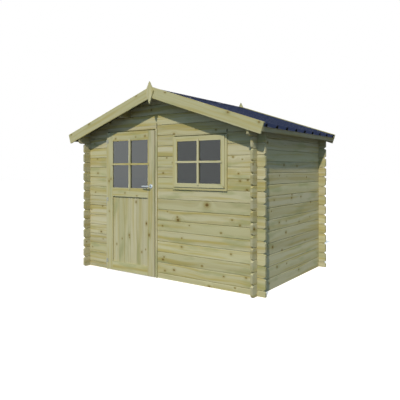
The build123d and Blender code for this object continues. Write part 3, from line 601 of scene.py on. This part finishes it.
# The glazing beads: square pine strips with a rounded inner edge, mitred at the corners
# and pinned round each opening behind its pane. One ring is extruded and bevelled.
BEAD, BEAD_ROUND = 0.011, 0.005
PANE_GAP, SIDE_GAP = 0.0005, 0.0003


def piece_of(name, mesh, material, body):
    """Makes a mesh into a piece that rides on a body."""
    data = bpy.data.meshes.new(name)
    mesh.to_mesh(data)
    mesh.free()
    data.materials.append(material)
    piece = bpy.data.objects.new(name, data)
    scene.collection.objects.link(piece)
    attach(piece, body)
    return piece


for name, glass, body, opening in (
    ("door_glazing_beads", "door_glass", "door", (-0.8575, -0.2055, 1.129, 1.757)),
    ("window_glazing_beads", "window_glass", "shed", (0.2805, 0.9265, 1.21075, 1.71625)),
):
    x0, x1, z0, z1 = opening
    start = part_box(glass)[1][1] + PANE_GAP
    beads = bmesh.new()
    bmesh.ops.create_grid(beads, x_segments=1, y_segments=1, size=0.5)
    size = Matrix.Diagonal((x1 - x0 - 2 * SIDE_GAP, z1 - z0 - 2 * SIDE_GAP, 1, 1))
    upright = Matrix.Rotation(radians(90), 4, "X")
    centre = Matrix.Translation(((x0 + x1) / 2, start, (z0 + z1) / 2))
    bmesh.ops.transform(beads, matrix=centre @ upright @ size, verts=beads.verts)
    middle = beads.faces[:]
    bmesh.ops.inset_region(beads, faces=middle, thickness=BEAD, use_boundary=True)
    bmesh.ops.delete(beads, geom=middle, context="FACES_ONLY")
    ring = bmesh.ops.extrude_face_region(beads, geom=beads.faces[:])
    raised = [item for item in ring["geom"] if isinstance(item, bmesh.types.BMVert)]
    bmesh.ops.translate(beads, verts=raised, vec=(0, BEAD, 0))
    inner = [
        edge for edge in beads.edges
        if all(abs(corner.co.y - start - BEAD) < 1e-5 for corner in edge.verts)
        and all(min(abs(corner.co.x - x0), abs(corner.co.x - x1)) > BEAD / 2 for corner in edge.verts)
        and edge.calc_face_angle(0) > 1
    ]
    bmesh.ops.bevel(
        beads, geom=inner, offset=BEAD_ROUND, offset_type="OFFSET", segments=3, profile=0.5,
        affect="EDGES", material=-1,
    )
    bmesh.ops.recalc_face_normals(beads, faces=beads.faces)
    piece_of(name, beads, pine(f"{name}_pine", "z", seed=60, knots=0.0), body)

# The hinges: zinc-plated steel knuckles on plates, three pairs, one half on the frame
# and one on the leaf. Rolled and plated, so they are dull and a little uneven.


def plated(name, colour, worn, rough):
    """Bare or plated metal between two colours, with a fine uneven grain."""
    material, w, shader, place = new_finish(name)
    spangle = w.noise(place, 160.0, 3.0)
    w.feed(shader.inputs["Base Color"], w.blend(w.band(spangle, 0.35, 0.65), colour, worn))
    w.feed(shader.inputs["Roughness"], w.math("MULTIPLY_ADD", spangle, 0.2, rough))
    shader.inputs["Metallic"].default_value = 1.0
    return material


hinge_zinc = plated("hinge_zinc", srgb(176, 178, 162), srgb(150, 153, 140), 0.5)
for node in ("hinge_frame_halves", "hinge_leaf_halves"):
    dress(node, hinge_zinc)

# The hinge screws: two pan heads with a round recess in each leaf plate, turned in
# zinc-plated steel. Each head is a profile spun round its own axis.


def add_mesh(mesh, more):
    """Adds one mesh to another and frees it."""
    data = bpy.data.meshes.new("part")
    more.to_mesh(data)
    more.free()
    mesh.from_mesh(data)
    bpy.data.meshes.remove(data)


def stamp(mesh, profile, steps, spots):
    """Spins a profile of radius and height round Z and adds it at each spot, a matrix."""
    head = bmesh.new()
    corners = [head.verts.new((radius, 0, height)) for radius, height in profile]
    edges = [head.edges.new(pair) for pair in zip(corners, corners[1:])]
    bmesh.ops.spin(
        head, geom=corners + edges, cent=(0, 0, 0), axis=(0, 0, 1), angle=2 * pi, steps=steps,
        use_merge=True,
    )
    bmesh.ops.remove_doubles(head, verts=head.verts, dist=0.00001)
    bmesh.ops.recalc_face_normals(head, faces=head.faces)
    for spot in spots:
        copy = head.copy()
        bmesh.ops.transform(copy, matrix=spot, verts=copy.verts)
        add_mesh(mesh, copy)
    head.free()


LEAF_FACE, LEAF_BACK = -0.8784, -0.8384
PLATE_OUT = 0.0023
HOLE_MIDDLE = 0.025
PLATE_HOLES = ((-0.965, 0.013), (-0.951, -0.013))
HINGE_Z = (0.100, 0.940, 1.732)
SCREW_HEAD = (
    (0.0, 0.0010), (0.0017, 0.0010), (0.0018, 0.0022), (0.0028, 0.0021), (0.0038, 0.0013),
    (0.0042, 0.0), (0.0, 0.0),
)
TO_FRONT = Matrix.Rotation(radians(90), 4, "X")
TO_BACK = Matrix.Rotation(radians(-90), 4, "X")
hinge_screws = bmesh.new()
stamp(hinge_screws, SCREW_HEAD, 20, [
    Matrix.Translation((x, LEAF_FACE - PLATE_OUT, z + HOLE_MIDDLE + up)) @ TO_FRONT
    for z in HINGE_Z for x, up in PLATE_HOLES
])
screw_zinc = plated("screw_zinc", srgb(160, 163, 158), srgb(128, 132, 128), 0.4)
piece_of("hinge_screws", hinge_screws, screw_zinc, "door")

# The cover plates of the lever: a domed round plate on each face of the leaf, turned
# in satin metal.
LEVER_X, LEVER_Z = -0.14775, 1.160
satin = plated("satin_metal", srgb(188, 198, 202), srgb(172, 182, 188), 0.3)
DOMED_PLATE = (
    (0.0, 0.0003), (0.0275, 0.0003), (0.0288, 0.0016), (0.0285, 0.0040), (0.0262, 0.0062),
    (0.0190, 0.0074), (0.0112, 0.0079), (0.0, 0.0079),
)
outside = Matrix.Translation((LEVER_X, LEAF_FACE, LEVER_Z)) @ TO_FRONT
inside = Matrix.Translation((LEVER_X, LEAF_BACK, LEVER_Z)) @ TO_BACK
cover_plates = bmesh.new()
stamp(cover_plates, DOMED_PLATE, 48, (outside, inside))
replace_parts(piece_of("cover_plates", cover_plates, satin, "door"), "handle_rosettes")

# The lever: a cast grip that narrows to a rounded, slightly returned tip, on a turned
# neck, one on each face of the leaf. The grip is one round section extruded in steps.
GRIP_OUT = 0.050
NECK = (
    (0.0, 0.0060), (0.0105, 0.0060), (0.0105, 0.0130), (0.0092, 0.0150), (0.0084, 0.0300),
    (0.0088, 0.0480), (0.0082, 0.0560), (0.0060, 0.0585), (0.0, 0.0590),
)
# along the grip: how far from the neck, half height, half thickness, return to the leaf
GRIP = (
    (-0.0100, 0.0050, 0.0045, 0.0), (-0.0085, 0.0085, 0.0075, 0.0), (0.0100, 0.0100, 0.0080, 0.0),
    (0.0500, 0.0098, 0.0068, 0.0004), (0.0900, 0.0092, 0.0060, 0.0014), (0.1080, 0.0082, 0.0056, 0.0034),
    (0.1170, 0.0064, 0.0048, 0.0052), (0.1215, 0.0030, 0.0026, 0.0062),
)
levers = bmesh.new()
stamp(levers, NECK, 32, (outside, inside))
for middle_y, inward in ((LEAF_FACE - GRIP_OUT, 1), (LEAF_BACK + GRIP_OUT, -1)):
    grip = bmesh.new()
    bmesh.ops.create_circle(
        grip, cap_ends=True, segments=24, radius=1.0, matrix=Matrix.Rotation(radians(90), 4, "Y"),
    )
    tip = grip.faces[:]
    ring = grip.verts[:]
    far, high, thick, back = 0.0, 1.0, 1.0, 0.0
    for number, (next_far, next_high, next_thick, next_back) in enumerate(GRIP):
        if number:
            grown = bmesh.ops.extrude_face_region(grip, geom=tip)["geom"]
            if number > 1:
                bmesh.ops.delete(grip, geom=tip, context="FACES_ONLY")
            tip = [item for item in grown if isinstance(item, bmesh.types.BMFace)]
            ring = [item for item in grown if isinstance(item, bmesh.types.BMVert)]
        step = (far - next_far, inward * (next_back - back), 0)
        bmesh.ops.translate(grip, verts=ring, vec=step)
        bmesh.ops.scale(
            grip, verts=ring, vec=(1, next_thick / thick, next_high / high),
            space=Matrix.Translation((next_far, -inward * next_back, 0)),
        )
        far, high, thick, back = next_far, next_high, next_thick, next_back
    bmesh.ops.translate(grip, verts=grip.verts, vec=(LEVER_X, middle_y, LEVER_Z))
    bmesh.ops.recalc_face_normals(grip, faces=grip.faces)
    add_mesh(levers, grip)
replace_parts(piece_of("lever_pair", levers, satin, "lever"), "lever_handle")

# The roof screws: hexagon heads on grey rubber washers, through the pans into the
# purlins and the eave boards, and through the ridge cap into the ribs beside it.
PAN_TOP, RIB_PITCH, HALF_RIB, SHEET_GAP = 2.3422, 0.2427, 0.031, 0.0003
# each row: its run out from the ridge, its rise square to the slope, its share of a pitch
SCREW_ROWS = ((0.570, 0.002, 0.5), (1.553, 0.002, 0.5), (0.090, 0.0395, 0.0))
sheet_start, sheet_end = (corner[1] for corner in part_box("ridge_cap"))
FIRST_RIB = sheet_start + HALF_RIB + SHEET_GAP
RIBS = int((sheet_end - FIRST_RIB - HALF_RIB) / RIB_PITCH) + 1
HEXAGON = ((0.0, 0.0015), (0.0052, 0.0015), (0.0052, 0.0060), (0.0044, 0.0066), (0.0, 0.0066))
WASHER = ((0.0, 0.0), (0.0085, 0.0), (0.0080, 0.0016), (0.0, 0.0020))
spots = []
for side in (-1, 1):
    tilt = Matrix.Rotation(side * ROOF_ANGLE, 4, "Y")
    for run, rise, between in SCREW_ROWS:
        for rib in range(RIBS - (between > 0)):
            foot = Vector((side * run, FIRST_RIB + (rib + between) * RIB_PITCH, 0))
            foot.z = PAN_TOP + rise / cos(ROOF_ANGLE) - RISE * run
            spots.append(Matrix.Translation(foot) @ tilt)
heads, washers = bmesh.new(), bmesh.new()
stamp(heads, HEXAGON, 6, spots)
stamp(washers, WASHER, 16, spots)
piece_of("roof_screw_heads", heads, coated_steel, "shed")
rubber, w, shader, place = new_finish("washer_rubber")
w.feed(shader.inputs["Base Color"], w.blend(w.noise(place, 300.0), srgb(58, 62, 70), srgb(44, 48, 56)))
shader.inputs["Roughness"].default_value = 0.8
piece_of("roof_screw_washers", washers, rubber, "shed")
